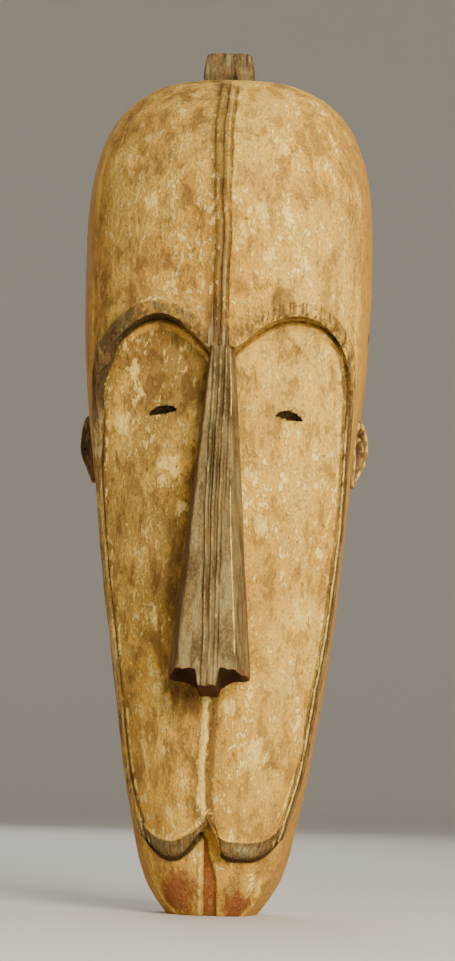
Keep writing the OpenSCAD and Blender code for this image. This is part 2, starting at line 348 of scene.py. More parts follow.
class Nodes:
    """Short ways to add shader nodes to one material."""

    def __init__(self, name):
        self.material = bpy.data.materials.new(name)
        self.material.use_nodes = True
        self.tree = self.material.node_tree
        self.shader = self.tree.nodes["Principled BSDF"]

    def put(self, socket, value):
        if isinstance(value, bpy.types.NodeSocket):
            self.tree.links.new(value, socket)
        else:
            socket.default_value = value

    def add(self, kind, inputs, **settings):
        node = self.tree.nodes.new("ShaderNode" + kind)
        for key, value in settings.items():
            setattr(node, key, value)
        for key, value in inputs.items():
            self.put(node.inputs[key], value)
        return node

    def math(self, operation, a, b):
        return self.add("Math", {0: a, 1: b}, operation=operation).outputs[0]

    def times(self, a, b):
        return self.math("MULTIPLY", a, b)

    def total(self, *values):
        out = values[0]
        for value in values[1:]:
            out = self.math("ADD", out, value)
        return out

    def range(self, value, low, high, to_low=0.0, to_high=1.0):
        inputs = {0: value, 1: low, 2: high, 3: to_low, 4: to_high}
        return self.add("MapRange", inputs, interpolation_type="SMOOTHSTEP").outputs[0]

    def blend(self, factor, a, b):
        return self.add("Mix", {0: factor, 6: a, 7: b}, data_type="RGBA").outputs[2]

    def place(self, *stretch):
        where = self.add("TexCoord", {}).outputs["Object"]
        return self.add("Mapping", {"Vector": where, "Scale": stretch}).outputs[0]

    def noise(self, where, size, detail=4.0, rough=0.55, twist=0.0):
        """Noise of 0 to 1 with features of about the given size in metres."""
        inputs = {"Vector": where, "Scale": 1 / size, "Detail": detail, "Roughness": rough}
        return self.add("TexNoise", inputs | {"Distortion": twist}).outputs["Fac"]

    def mask(self, name):
        """One of the masks that store_masks wrote."""
        label = next(key for key, names in ATTRIBUTES.items() if name in names)
        colour = self.add("Attribute", {}, attribute_name=label).outputs["Color"]
        return self.add("SeparateColor", {0: colour}).outputs[ATTRIBUTES[label].index(name)]

    def worn(self, name, breaker, ragged, low, high):
        """A mask whose edge is broken up by noise."""
        shift = self.range(breaker, 0.28, 0.72, -ragged, ragged)
        return self.range(self.total(self.mask(name), shift), low, high)

    def tint(self, colour, paint, field, low, high, amount=1.0):
        """Lays paint over a colour as the field runs from low to high."""
        return self.blend(self.range(field, low, high, 0, amount), colour, paint)

    def coat(self, colour, paint, name, breaker, ragged, low, high, amount):
        """Lays paint over a colour where a worn mask is."""
        return self.blend(self.times(self.worn(name, breaker, ragged, low, high), amount), colour, paint)

    def heights(self, *parts):
        """The sum of pairs of a field and its height in metres."""
        return self.total(*[self.times(field, height) for field, height in parts])

    def finish(self, colour, roughness, height):
        """Connects the colour, the roughness and a bump height in metres."""
        self.put(self.shader.inputs["Base Color"], colour)
        self.put(self.shader.inputs["Roughness"], roughness)
        bump = self.add("Bump", {"Height": height, "Strength": 1.0, "Distance": 1.0})
        self.put(self.shader.inputs["Normal"], bump.outputs[0])
        self.shader.inputs["Specular IOR Level"].default_value = DULL
        return self.material


def rgb(red, green, blue):
    """A colour given in 0 to 255 screen values, as the linear values that shaders take."""
    return tuple(((c / 255 + 0.055) / 1.055) ** 2.4 for c in (red, green, blue)) + (1.0,)


TAN = rgb(206, 155, 60)
OCHRE = rgb(163, 123, 60)
CREAM = rgb(240, 198, 94)
CHALK = rgb(252, 228, 144)
STAIN_AND_SHADE = rgb(110, 80, 44)
BROWN = rgb(112, 84, 48)
UMBER = rgb(60, 42, 24)
SHADE_BLACK = rgb(4, 3, 2)
RED = rgb(152, 58, 38)
GREY = rgb(156, 142, 100)
SIDE_LIGHT = rgb(204, 150, 74)
SIDE_DARK = rgb(148, 104, 52)


def whitened_wood():
    """Worn clay over wood: blotches, raised crumbs, stains, and the brown and red paint, with painted
    shade and painted highlights laid in the same masks.
    """
    n = Nodes("whitened_wood")
    upright = n.place(1, 1, 0.55)
    blotch = n.noise(upright, 0.026, 6, 0.66)
    broad = n.noise(upright, 0.085, 3, 0.5)
    fibre = n.noise(n.place(1, 1, 0.07), 0.0015, 4, 0.6)
    hair = n.noise(n.place(1, 1, 0.045), 0.0021, 2, 0.5)
    crumb = n.noise(upright, 0.0034, 5, 0.7, 0.4)
    grit = n.noise(n.place(1, 1, 0.7), 0.0013, 3, 0.7)
    patch = n.noise(upright, 0.013, 6, 0.7, 0.3)

    # clay that is left, from ochre through tan to cream, sandy all over
    clay = n.tint(OCHRE, TAN, blotch, 0.34, 0.58)
    clay = n.tint(clay, CREAM, broad, 0.42, 0.62, 0.5)
    clay = n.tint(clay, OCHRE, patch, 0.50, 0.38, 0.5)
    clay = n.tint(clay, OCHRE, fibre, 0.50, 0.68, 0.4)
    clay = n.tint(clay, OCHRE, grit, 0.48, 0.34, 0.6)
    clay = n.tint(clay, CREAM, grit, 0.54, 0.68, 0.6)

    # patches rubbed down to the wood, and dark specks
    rubbed = n.range(n.total(n.times(patch, 0.65), n.times(crumb, 0.35)), 0.475, 0.415)
    clay = n.blend(n.times(rubbed, n.range(n.mask("stain"), 0, 0.6, 0.2, 0.6)), clay, STAIN_AND_SHADE)
    clay = n.tint(clay, UMBER, crumb, 0.36, 0.29, 0.8)

    # crumbs of thick clay that stand proud, in clusters
    field = n.total(n.times(crumb, 0.55), n.times(blotch, 0.2), n.times(patch, 0.25))
    flake = n.range(field, 0.525, 0.565)
    chalky = n.tint(CREAM, CHALK, grit, 0.4, 0.6)
    clay = n.blend(n.times(flake, 0.75), clay, chalky)

    # brown stains and painted shade, with some of the crumbs still pale on them
    stain = n.tint(UMBER, STAIN_AND_SHADE, crumb, 0.35, 0.65)
    clay = n.coat(clay, stain, "stain", crumb, 0.35, 0.15, 0.95, 0.72)
    clay = n.blend(n.times(flake, 0.35), clay, chalky)

    # smooth bare wood on the sides, rim and inside
    wood = n.tint(SIDE_LIGHT, SIDE_DARK, fibre, 0.35, 0.7)
    wood = n.tint(wood, TAN, broad, 0.35, 0.65, 0.5)
    bare = n.worn("bare", crumb, 0.3, 0.35, 0.65)
    colour = n.blend(bare, clay, wood)

    # brown paint, thin on the high fibres, then the grey, red and pale paints; the brown also lays some
    # painted shade and the pale some painted highlights
    brown = n.tint(UMBER, n.tint(BROWN, GREY, blotch, 0.35, 0.75, 0.6), fibre, 0.3, 0.62)
    colour = n.coat(colour, brown, "brown", crumb, 0.3, 0.25, 0.75, 0.92)
    colour = n.coat(colour, GREY, "grey", hair, 0.5, 0.35, 0.8, 0.8)
    colour = n.coat(colour, n.blend(fibre, RED, STAIN_AND_SHADE), "red", crumb, 0.5, 0.3, 0.8, 0.85)
    colour = n.coat(colour, n.blend(grit, CREAM, CHALK), "pale", crumb, 0.45, 0.3, 0.8, 0.75)

    # knife cuts, cracks, and painted shade in the hollows and under the ledges, near-black on the walls of
    # the holes
    cut_lines = n.times(n.mask("cuts"), n.range(hair, 0.50, 0.58))
    colour = n.blend(n.times(cut_lines, 0.85), colour, UMBER)
    colour = n.blend(n.times(n.mask("crack"), 0.8), colour, UMBER)
    hollow_shade = n.tint(SHADE_BLACK, UMBER, crumb, 0.3, 0.7)
    colour = n.blend(n.times(n.mask("cavity"), 0.92), colour, hollow_shade)
    colour = n.tint(colour, SHADE_BLACK, n.mask("cavity"), 0.94, 0.99)

    rough = n.total(n.range(bare, 0, 1, 0.88, 0.66), n.times(fibre, 0.1))
    return n.finish(colour, rough, n.heights((fibre, 0.00022), (flake, 0.00045), (crumb, 0.0012),
                                             (rubbed, -0.00035), (grit, 0.0005), (cut_lines, -0.0005)))


def stained_wood(name, dark, light, worn_colour, streak):
    """Carved wood under a worn brown stain, with its grain upright."""
    n = Nodes(name)
    upright = n.place(1, 1, 0.45)
    fibre = n.noise(n.place(1, 1, 0.08), 0.0013, 4, 0.6)
    coarse = n.noise(n.place(1, 1, 0.16), 0.0060, 5, 0.65)
    blotch = n.noise(upright, 0.014, 6, 0.65)
    crumb = n.noise(upright, 0.0030, 5, 0.7)
    grit = n.noise(n.place(1, 1, 0.6), 0.0012, 3, 0.7)
    colour = n.tint(dark, light, blotch, 0.38, 0.62)
    colour = n.tint(colour, worn_colour, coarse, 0.44, 0.66, streak)
    colour = n.tint(colour, dark, fibre, 0.46, 0.66, 0.4)
    colour = n.tint(colour, dark, grit, 0.50, 0.36, 0.5)
    colour = n.tint(colour, worn_colour, grit, 0.54, 0.68, 0.4)
    colour = n.coat(colour, UMBER, "brown", crumb, 0.3, 0.2, 0.9, 0.75)
    colour = n.coat(colour, GREY, "grey", crumb, 0.5, 0.3, 0.9, 0.6)
    colour = n.coat(colour, n.blend(fibre, RED, dark), "red", crumb, 0.4, 0.3, 0.9, 0.8)
    colour = n.coat(colour, CREAM, "pale", crumb, 0.35, 0.35, 0.8, 0.8)
    # near-black where the cavity mask is: painted shade in the grooves and hollows and under the nose
    colour = n.blend(n.times(n.mask("cavity"), 0.9), colour, SHADE_BLACK)
    rough = n.total(0.55, n.times(coarse, 0.25))
    return n.finish(colour, rough, n.heights((fibre, 0.00026), (coarse, 0.00055), (crumb, 0.0004),
                                             (grit, 0.0002)))


def peg_wood():
    """Split pegs: plain wood with the grain along Y."""
    n = Nodes("peg_wood")
    fibre = n.noise(n.place(1, 0.08, 1), 0.0007, 3, 0.55)
    colour = n.tint(rgb(120, 84, 46), rgb(176, 134, 84), fibre, 0.35, 0.65)
    return n.finish(colour, n.range(fibre, 0, 1, 0.65, 0.8), n.times(fibre, 0.0002))


# ---- Outer skin ----

SIDE_COLUMNS = 26
FACE_COLUMNS = 251
FACE_HALF = 87     # half width of the face, by which its columns are spaced
RIM_H = 7          # height of the rounded rim along the top of the face plate
RIM_RISE = 1.4
BROW_GROOVE = 2.2  # dip between that rim and the brow
BAND_RISE = 1.4    # how far the cheeks' lower edge stands out from the plate
BAND_ROUND = 4


def face_columns():
    """Shares across the face from right to left, closer together at the middle and the borders."""

    def weight(u):
        x = np.abs(u) * FACE_HALF
        return 1 + 3.0 * hump(x, 13) + 2.6 * hump(FACE_HALF - x, 12)

    return spread(weight, FACE_COLUMNS, 1.0, -1.0)


# Places from 0 to 1 of the rows in each zone, from the foot up to the crown
ZONES = [
    ("chin", np.linspace(0, 1, 27)[:-1]),
    ("jaw_ledge", np.linspace(0, 1, 6)[:-1]),
    ("band", np.linspace(0, 1, 13)[:-1]),
    ("plate", np.linspace(0, 1, 168)[:-1]),
    ("rim", np.linspace(0, 1, 10)[:-1]),
    ("brow_ledge", np.linspace(0, 1, 9)[:-1]),
    ("forehead", spread(lambda t: 1 + 3.0 * hump(t, 0.12) + 1.2 * ramp(t, 0.8, 0.2), 103, 0.0, 1.0)),
]


def band_depth(x, z, s):
    """The cheeks' rounded lower edge, which the dark band covers."""
    full = plate_surface(x, z) + BAND_RISE * (1 - ramp(s, 0.82, 0.18))
    return mix(full - BAND_ROUND, full, round_over(1 - np.minimum(s * 2.2, 1), 2.0))


def rim_bulge(s, u):
    """The plate swells just inside the brow, then dips into the groove under it."""
    swell = RIM_RISE * np.sin(math.pi * clamp(s * 1.25)) ** 2 - BROW_GROOVE * ramp(s, 0.62, 0.38)
    return swell * ramp(np.abs(u), 1, -0.2)


def face_zone(zone, s, u):
    """Positions (x, depth, z) of one zone of the face, for rows s and columns u."""
    s, u = np.meshgrid(s, u, indexing="ij")
    jaw, brow = jaw_z(u), brow_z(u)
    cheek = jaw + JAW_STEP
    z = {
        "chin": jaw * s,
        "jaw_ledge": jaw + JAW_STEP * s,
        "band": cheek + BAND_H * s,
        "plate": mix(cheek + BAND_H, brow - RIM_H, s),
        "rim": brow - RIM_H * (1 - s),
        "brow_ledge": brow + BROW_STEP * s**1.5,
        "forehead": mix(brow + BROW_STEP, HEAD_H - CROWN_GAP, s),
    }[zone]
    x = border_x(z) * u
    head, plate = head_surface(x, z), plate_surface(x, z)
    depth = {
        "chin": head,
        "jaw_ledge": mix(head, band_depth(x, z, 0.0), s),
        "band": band_depth(x, z, s),
        "plate": plate,
        "rim": plate + rim_bulge(s, u),
        "brow_ledge": mix(plate + rim_bulge(1.0, u), head, 1 - round_over(s, 1.4)),
        "forehead": head,
    }[zone]
    return x, depth, z


def side_points(z, sign):
    """Rows from the border round the side of the head to the rim; the border itself is left out."""
    k = np.linspace(1, 0, SIDE_COLUMNS + 1)[1:]
    w, n = half_width(z)[:, None], curve(FULLNESS, share(z))[:, None]
    turn = np.arccos(clamp(border_x(z)[:, None] / w) ** (n / 2)) * k
    x = sign * w * np.cos(turn) ** (2 / n)
    depth = head_depth(z)[:, None] * np.sin(turn) ** (2 / n)
    return join(x, depth, z[:, None]), k


class Skin:
    """The outer skin as a grid of (x, depth, z), with the relief and masks that carving adds.

    reach is 1 on the face and falls to 0 at the back rim, and step runs from 0 to 1 up each zone.
    """

    def __init__(self):
        u = face_columns()
        face = np.concatenate([join(*face_zone(zone, s, u)) for zone, s in ZONES])
        right, k = side_points(face[:, 0, 2], 1)
        left, _ = side_points(face[:, -1, 2], -1)
        self.form = np.concatenate([right[:, ::-1], face, left], axis=1)
        self.z = self.form[..., 2]
        self.u = np.clip(self.form[..., 0] / border_x(self.z), -1, 1)
        self.form[..., 0] += sway(self.z)
        self.x = self.form[..., 0]
        shape = self.x.shape
        self.reach = np.broadcast_to(np.concatenate([k[::-1], np.ones(FACE_COLUMNS), k]), shape)
        names = np.concatenate([[zone] * len(s) for zone, s in ZONES])
        self.zone = np.broadcast_to(names[:, None], shape)
        self.step = np.broadcast_to(np.concatenate([s for _, s in ZONES])[:, None], shape)
        self.face = self.reach == 1
        self.left, self.right = self.u < 0, self.u > 0
        self.slow = lumps(self.form, 34, 1, 2, 1.6)
        self.quick = lumps(self.form, 7, 2, 3, 2.2)
        self.relief = 0.55 * self.slow + 0.16 * self.quick
        self.masks = {name: np.zeros(shape) for name in MASKS}
        self.from_brow = self.distance_to(brow_line(BROW_STEP, head_surface))
        self.from_edge = self.distance_to(plate_edge())

    def distance_to(self, line):
        """Distance from each point of the skin to the nearest point of a line."""
        tree = kdtree.KDTree(len(line))
        for i, p in enumerate(line):
            tree.insert(Vector(p), i)
        tree.balance()
        flat = [tree.find(Vector(p))[2] for p in self.form.reshape(-1, 3)]
        return np.array(flat).reshape(self.x.shape)

    def on(self, *zones):
        return self.face & np.isin(self.zone, zones)

    def sides(self, left, right):
        return np.where(self.left, left, right)

    def mark(self, **amounts):
        for name, amount in amounts.items():
            self.masks[name] = self.masks[name] + amount


def brow_line(lift, surface):
    """Points along a brow edge."""
    u = np.linspace(-1, 1, 1201)
    z = brow_z(u) + lift
    x = border_x(z) * u
    return join(x + sway(z), surface(x, z), z)


def plate_edge():
    """Points along the border of the face plate: up one side, over the arches and down the other."""
    z = np.linspace(JAW_Z + JAW_RISE, TEMPLE_Z, 400)
    edge = border_x(z)
    sides = [join(sign * edge + sway(z), plate_surface(edge, z), z) for sign in (-1, 1)]
    return np.concatenate(sides + [brow_line(0, plate_surface)])


# ---- Carving and paint on the skin ----

# x is measured from the middle to the right, z from the foot up, and d is a distance from a line

REED_W = 5.3


def carve_reeds(skin):
    """Two reeds side by side down the forehead, with a dark groove between and at each side."""
    x, z, quick = skin.x, skin.z, skin.quick
    bends = [(0.66, -2.3), (0.72, -1.9), (0.79, -1.2), (0.84, -2.9), (0.91, -3.4), (1, -0.6)]
    wander = 0.35 * np.sin(z / 19) + 0.25 * np.sin(z / 8 + 1.3) + 0.5 * quick
    across = x - curve(bends, share(z)) - wander
    wide = mix(0.92, 1.15, ramp(z, 430, 110)) * REED_W
    high = skin.on("forehead") * ramp(z, HEAD_H - 5, -14)
    reed = round_over(np.abs(np.abs(across) - wide / 2) / (wide / 2), 2)
    inside = np.abs(across) < wide
    grooves = hump(across, 1.8) + hump(across - wide, 1.7) + hump(across + wide, 2.6)
    skin.relief += high * (np.where(inside, reed, 0) - 1.1 * grooves)
    near_nose = 1 - ramp(z, NOSE_TOP, 45)
    flare = mix(wide, BRIDGE_W / 2, 1 - ramp(z, NOSE_TOP, 22))
    painted = high * ease((flare - np.abs(across)) / 1.2 + 0.5)
    skin.relief += 0.9 * painted * (1 - ramp(z, NOSE_TOP, 16)) * (1 - inside)
    skin.mark(
        cavity=0.22 * high * grooves * clamp(0.9 + 0.9 * quick),
        stain=high * (1.3 * grooves * clamp(0.9 + quick) + 0.45 * hump(across, 13) + 0.25 * inside),
        brown=painted * mix(0.34, 0.62, near_nose),
        grey=painted * mix(0.1, 0.5, near_nose),
        pale=0.2 * high * hump(reed - 1, 0.3) * inside,
    )


def carve_brows(skin):
    """The brow bands: painted and undercut on the left, nicked with a knife on the right."""
    x, z, d = skin.x, skin.z, skin.from_brow
    above = np.where(skin.face, skin.zone == "forehead", ramp(z, TEMPLE_Z, 16))
    clear_of_nose = ramp(np.abs(x), 5, 9)
    outer_end = clamp(ramp(z, TEMPLE_Z + 8, 32) + (np.abs(x) < 50))
    lip = 0.9 * BROW_LIP * mix(0.4, 1.0, outer_end)
    skin.relief += above * clear_of_nose * lip * (1 - ramp(d, 4.5, 6.5))
    band = above * clear_of_nose * (1 - ramp(d, mix(4.2, 6.8, outer_end) - 1.2, 2.4))
    left_band, right_band = band * skin.left, band * skin.right
    flank = ramp(x, -48, -24)
    # the underside of the brow ledge gets brown paint and painted shade
    under = (skin.on("brow_ledge") | (skin.on("rim") & (skin.step > 0.8))) * mix(0.6, 1.0, outer_end)
    skin.mark(
        brown=left_band * mix(0.46, 1.15, flank) + 0.38 * right_band,
        grey=0.15 * left_band,
        # a painted highlight along the top edge of the left band
        pale=0.6 * above * skin.left * clear_of_nose * hump(d - 7.5, 3) * hump(x + 44, 30),
        cuts=0.75 * right_band * ramp(x, 20, 8),
        # painted shade along the lower edge of the left band, deepest at the temple
        cavity=left_band * mix(0.14, 0.55, flank) * (1 - ramp(d, 1.5, 6)),
    )
    to_bridge = ramp(x, -22, -16)
    skin.mark(
        brown=under * skin.sides(mix(0.35, 1.1, to_bridge), 0.4),
        cavity=under * skin.sides(mix(0.2, 0.36, to_bridge), mix(0.2, 0.5, hump(x - 74, 14))),
    )
    # a painted highlight along the crest of the rim under the brows
    crest = skin.on("rim") * np.sin(math.pi * clamp(skin.step / 0.8))
    skin.mark(pale=0.35 * crest * hump(x, 66) * ramp(np.abs(x), 12, 6))


def carve_border(skin):
    """The raised strip along the cheeks' border, from the brow bands down to the jaw bands.

    Near the temples it rises to the level of the brow bands, so that each runs on into the other.
    """
    z, d, sides = skin.z, skin.from_edge, skin.sides
    high = ramp(z, 322, 34)
    wide = sides(4.6, mix(5.2, 3.6, ramp(z, 150, 110))) + sides(2.7, 0.4) * ramp(z, 290, 60)
    wide = wide * (1 - ramp(z, 366, 34)) + 0.01
    low = skin.on("plate", "rim", "band", "brow_ledge") * (np.abs(skin.u) > 0.62)
    here = clamp(wide / 2)
    slope = mix(0.8, sides(4.0, 2.4), high)
    strip = low * (1 - ramp(d, wide - slope, slope)) * (wide > 0.4)
    gap = np.maximum(head_surface(skin.x - sway(z), z) - skin.form[..., 1], 0)
    lower_side = (z < TEMPLE_Z + 25) & (z > JAW_Z + 4)
    over_edge = mix(1.2, 3.2, ramp(z, 290, 60)) * (1 - ramp(z, 352, 28))
    side = ~skin.face * lower_side * (1 - ramp(d, over_edge, 1.2))
    groove = low * hump(d - wide - 0.4, 1.3) * here
    arris = low * hump(d - wide + 0.7, sides(0.7, 0.6)) * here * (1 - high)
    beside = low * hump(d - wide + 2.2, 1.3) * here
    skin.relief += strip * mix(1, gap + 1.1, high) + 0.6 * side - 1.1 * groove * (1 - 0.7 * high)
    painted = low * (d < wide) * (wide > 0.4)
    steep = painted * ramp(d / wide, 0.45, 0.3) * high
    skin.mark(
        brown=painted * sides(mix(0.5, 1.2, high), mix(1.05, 0.6, high))
        + side * sides(mix(0.7, 1.2, high), mix(0.9, 0.4, high)),
        grey=(painted + side) * skin.left * mix(0.35, 0.1, high),
        # a painted highlight along the arris, strong on the right
        pale=arris * sides(0.15, 1.3) * clamp(0.9 + 0.5 * skin.quick),
        # painted shade in the groove, on the strip's inner slope and over the left strip near the temple,
        # and a dark line beside the right arris
        cavity=groove * sides(0.55, 0.2) * clamp(0.75 + 0.9 * skin.quick)
        + beside * skin.right * mix(0.6, 0.2, high)
        + steep * sides(0.62, 0.3)
        + 0.38 * painted * skin.left * high,
        # painted shade in the groove inside the strip
        stain=0.9 * low * here * hump(d - wide - 1.6, 3),
    )
    flecks = low * hump(d - wide - 4, 2.6) * (skin.quick > 0.08)
    skin.mark(pale=0.7 * flecks)


def carve_jaw(skin):
    """The dark bands along the lower edge of each cheek; the right one stops short of the middle."""
    x, z, step = skin.x, skin.z, skin.step
    on_band = skin.on("band")
    kept = np.where(x > -3.5, ramp(x, 5.5, 1.2), 1)
    band = on_band * (1 - ramp(step, 0.84, 0.12)) * kept
    ledge = skin.on("jaw_ledge") * kept
    above_band = z - (jaw_z(skin.u) + JAW_STEP + BAND_H)
    chalk_line = skin.on("plate", "band") * hump(above_band - 0.8, 1.8)
    end_cut = on_band * hump(x - 5.8, 1.3)
    skin.relief -= 0.9 * end_cut
    skin.mark(
        brown=0.85 * band + ledge,
        grey=band * (0.75 * hump(x - 24, 19) * hump(step - 0.5, 0.45) + skin.sides(0.35, 0.15)),
        cuts=0.45 * band,
        # painted shade along the bottom of each band and on the ledge under it
        cavity=on_band * 0.7 * (1 - ease(step / 0.2)) * kept + 0.75 * ledge + 0.4 * end_cut,
        pale=chalk_line * skin.sides(1.0, 0.35) * (skin.from_edge > 3),
    )


def carve_philtrum(skin):
    """The pale ridge in its valley, between the nose and the chin."""
    x, z = skin.x, skin.z
    bends = [(0.1, -4.8), (0.13, -6.2), (0.166, -7.0), (0.2, -5.6), (0.25, -4.8)]
    across = x - curve(bends, share(z)) - 0.3 * np.sin(z / 11) - 0.5 * skin.quick
    below_nose = ramp(z, NOSE_FOOT, -18)
    lower = skin.on("plate", "band") * below_nose
    raised = ramp(z, 74, 16)
    valley = skin.face * below_nose * ramp(z, 30, 26) * hump(across - 2, 22)
    skin.relief += 1.7 * lower * raised * hump(across, 4) - 4.2 * valley
    skin.mark(
        pale=1.1 * lower * hump(across + 0.4, mix(6.0, 4.4, raised)) * ramp(z, 62, 12),
        stain=lower * (1.1 * hump(across - 5.8, 4.6) + 0.25 * hump(across, 18)),
        brown=0.4 * lower * hump(across - 5.4, 3.4),
    )


def carve_chin(skin):
    """The red groove down the chin, which widens to the foot, and the pale ridge on its left."""
    x, z = skin.x, skin.z
    chin = skin.on("chin", "jaw_ledge")
    left_edge = -4.6
    right_edge = mix(-2.2, 5.4, ease(clamp(1 - z / 55) / 0.62))
    groove = ramp(x, left_edge, 0.9) * ramp(x, right_edge, -2.2)
    skin.relief += chin * (1.2 * hump(x - left_edge + 2, 3) - 2.6 * groove)
    left_patch = hump(x + 23, 24) * hump(z - 14, 29)
    right_patch = hump(x - 19, 18) * hump(z - 6, 19)
    skin.mark(
        red=chin * (1.1 * groove + 1.15 * left_patch + 1.25 * right_patch),
        brown=chin * (0.2 * groove + 0.45 * hump(x - right_edge, 2.4) * ramp(z, 34, 14)),
        cavity=chin * (0.25 * groove * hump(x - left_edge, 2.6) + 0.5 * (1 - ease(z / 2.5))),
        pale=0.6 * chin * hump(x - left_edge + 2.4, 2.8),
        stain=0.12 * chin,
    )
    skin.mark(pale=0.8 * chin * hump(x - 31, 16) * hump(z - 18, 20) * (skin.quick > -0.1))


# Clusters of thick clay: across, up and radius
CLUSTERS = (
    (-62, 366, 16), (-66, 330, 18), (-58, 350, 14), (-30, 300, 20), (-24, 275, 16), (-42, 196, 18),
    (20, 300, 15), (28, 262, 17), (60, 205, 20), (48, 160, 16), (30, 110, 22), (-36, 116, 16),
    (22, 470, 20), (30, 440, 22), (-48, 478, 16), (-30, 452, 14), (66, 455, 12), (40, 520, 14),
)


def paint_stains(skin):
    """Red earth and the nose's painted shadow under the nose, brown stains and painted shade on the clay,
    its thick clusters and a scratch.
    """
    x, z, quick, slow = skin.x, skin.z, skin.quick, skin.slow
    plate = skin.on("plate")
    forehead = skin.on("forehead")
    # red earth under the nose, darkened below its left side as the nose's painted shadow
    red_earth_and_nose_shadow = hump(x + 20, 23) * hump(z - 147, 21) * clamp(0.8 + 1.2 * quick)
    socket = hump(x + 17, 15) * hump(z - 366, 34)
    skin.mark(
        red=plate * (0.6 * red_earth_and_nose_shadow + 0.5 * socket * clamp(0.4 + 2 * quick)),
        stain=plate * (1.3 * red_earth_and_nose_shadow + 0.6 * socket * clamp(0.5 + 1.5 * quick)),
        cavity=plate * 0.5 * red_earth_and_nose_shadow,
        pale=plate * 1.2 * hump(np.hypot(x - 11, z - 141), 11) * clamp(0.7 + quick),
    )
    # painted shade under the brow arches, more on the left
    arch = hump(z - brow_z(skin.u) + 14, 26) * (np.abs(x) > 8)
    # painted shade over the left cheek and forehead, which face away from the key light
    beside_nose = hump(np.abs(x) - 33, 12) * hump(z - 180, 60)
    cheek_shade = mix(0.6, 1, ramp(z, 100, 120)) * (0.1 * beside_nose + 0.7 + 0.5 * slow)
    skin.mark(stain=skin.on("plate", "rim") * arch * skin.sides(0.5, 0.3) * (0.9 + quick))
    skin.mark(stain=skin.left * (plate * cheek_shade + 0.6 * forehead))
    for across, up, radius in CLUSTERS:
        thick = hump(np.hypot((x - across) * 1.3, z - up), radius) * (np.abs(x) > 7)
        skin.mark(pale=thick * clamp(0.6 + 1.8 * quick))
    for eye in EYES:
        ring = np.hypot((x - eye["x"]) / 1.7, z - eye["z"])
        skin.mark(stain=plate * (0.55 + 0.6 * quick) * hump(ring, 11))

    # darker places at the right temple, over the brow and in the plate's lower right corner
    temple = hump(x - 78, 13) * hump(z - 465, 70)
    over_brow = forehead * hump(skin.from_brow - 6, 28) * hump(x - 30, 52)
    skin.mark(stain=0.85 * temple * (0.7 + slow) + 0.5 * over_brow * (0.8 + quick))
    right_corner = hump(x - 40, 11) * hump(z - 108, 26)
    skin.mark(stain=plate * 0.65 * right_corner * (0.8 + quick))

    # the scratch, and the swelling round the right eye with a painted shade line along its upper edge
    scratch = hump((x - 46) * 0.75 + (z - 389) * 0.66, 1.1) * (x >= 44) * (x <= 58)
    skin.mark(crack=plate * 0.8 * scratch)
    from_eye = np.hypot((x - 48) / 1.5, z - 344)
    skin.relief += plate * 0.7 * hump(from_eye, 17)
    skin.mark(stain=plate * 0.35 * hump(from_eye - 16, 3.5) * (z > 346))


def bare_sides(skin):
    """Smooth wood round the sides of the head, and a flat back rim."""
    outer = skin.on("forehead") * 0.55 * ramp(np.abs(skin.u), 0.86, 0.14)
    skin.mark(bare=outer + ~skin.face * ramp(skin.reach, 1, -0.35))
    skin.relief *= np.where(skin.on("brow_ledge"), 0.4, 1.0) * (skin.reach > 0)


# ---- Shell ----

# cap on the skin's painted shade in the hollows
DEEPEST_SKIN_SHADE = 0.8  # more than this is only for the walls of the holes
INNER_COLUMNS = 80
HOLLOW_FOOT = 20.2
HOLLOW_SQUARE = 2.8  # exponent of the hollow's outline: 2 is round, and more is squarer
GOUGE_D = 1.3
GOUGE_CELL = (13, 13, 30)
SHELL_SHARP = 45
ROWS_PER_INNER_ROW = 3

# Where each eye slit is, how it is tilted in degrees, and how wide and tall it is
EYES = (
    {"x": -40, "z": 338.4, "tilt": 7, "w": 20, "h": 5.4},
    {"x": 46.5, "z": 337, "tilt": -6, "w": 18.4, "h": 5.4},
)


def inner_form(heights):
    """Grid (x, depth, z) of the hollow, with a row for each height of the outer skin given."""
    z = mix(HOLLOW_FOOT, HOLLOW_TOP - 0.3, heights / HEAD_H)[:, None]
    dome = (z - CROWN_Z) / (HOLLOW_TOP - CROWN_Z)
    side = np.where(z < CROWN_Z, half_width(z) - WALL, (HALF_W - WALL) * round_over(dome, HOLLOW_SQUARE))
    side = side * round_over((80 - z) / 60, 2.2)
    deep = (HOLLOW_D + FOREHEAD_HOLLOW * ramp(z, 395, 60)) * round_over(dome, 2.4)
    deep = deep * round_over((150 - z) / 131, 2.2)
    turn = np.linspace(0, math.pi, INNER_COLUMNS)
    x = np.sign(np.cos(turn)) * side * np.abs(np.cos(turn)) ** (2 / HOLLOW_SQUARE)
    depth = deep * clamp(np.sin(turn)) ** (2 / HOLLOW_SQUARE)
    return join(x + sway(z), depth, z)


def gouged(form):
    """0 to about 1 across the shallow scoops that a gouge leaves."""
    cell = form.reshape(-1, 3) / GOUGE_CELL
    return np.array([noise.voronoi(Vector(p))[0][0] ** 2 for p in cell]).reshape(form.shape[:-1])


def shell_faces(rows, columns, picked, count):
    """Faces of the outer and inner grids, the flat rim between them, and their closed ends."""
    start = rows * columns
    faces = flipped(grid_faces(rows, columns)) + grid_faces(len(picked), count, start)
    for j in range(len(picked) - 1):
        a, b = start + j * count, start + (j + 1) * count
        climb = range(picked[j], picked[j + 1] + 1)
        faces.append([i * columns for i in climb] + [b, a])
        faces.append([i * columns + columns - 1 for i in reversed(climb)] + [a + count - 1, b + count - 1])
    last, inner_last = (rows - 1) * columns, start + (len(picked) - 1) * count
    faces.append(list(range(columns)))
    faces.append([last + i for i in reversed(range(columns))])
    faces.append([start + i for i in reversed(range(count))])
    faces.append([inner_last + i for i in range(count)])
    faces.append([0, start, start + count - 1, columns - 1])
    faces.append([last, last + columns - 1, inner_last + count - 1, inner_last])
    return faces


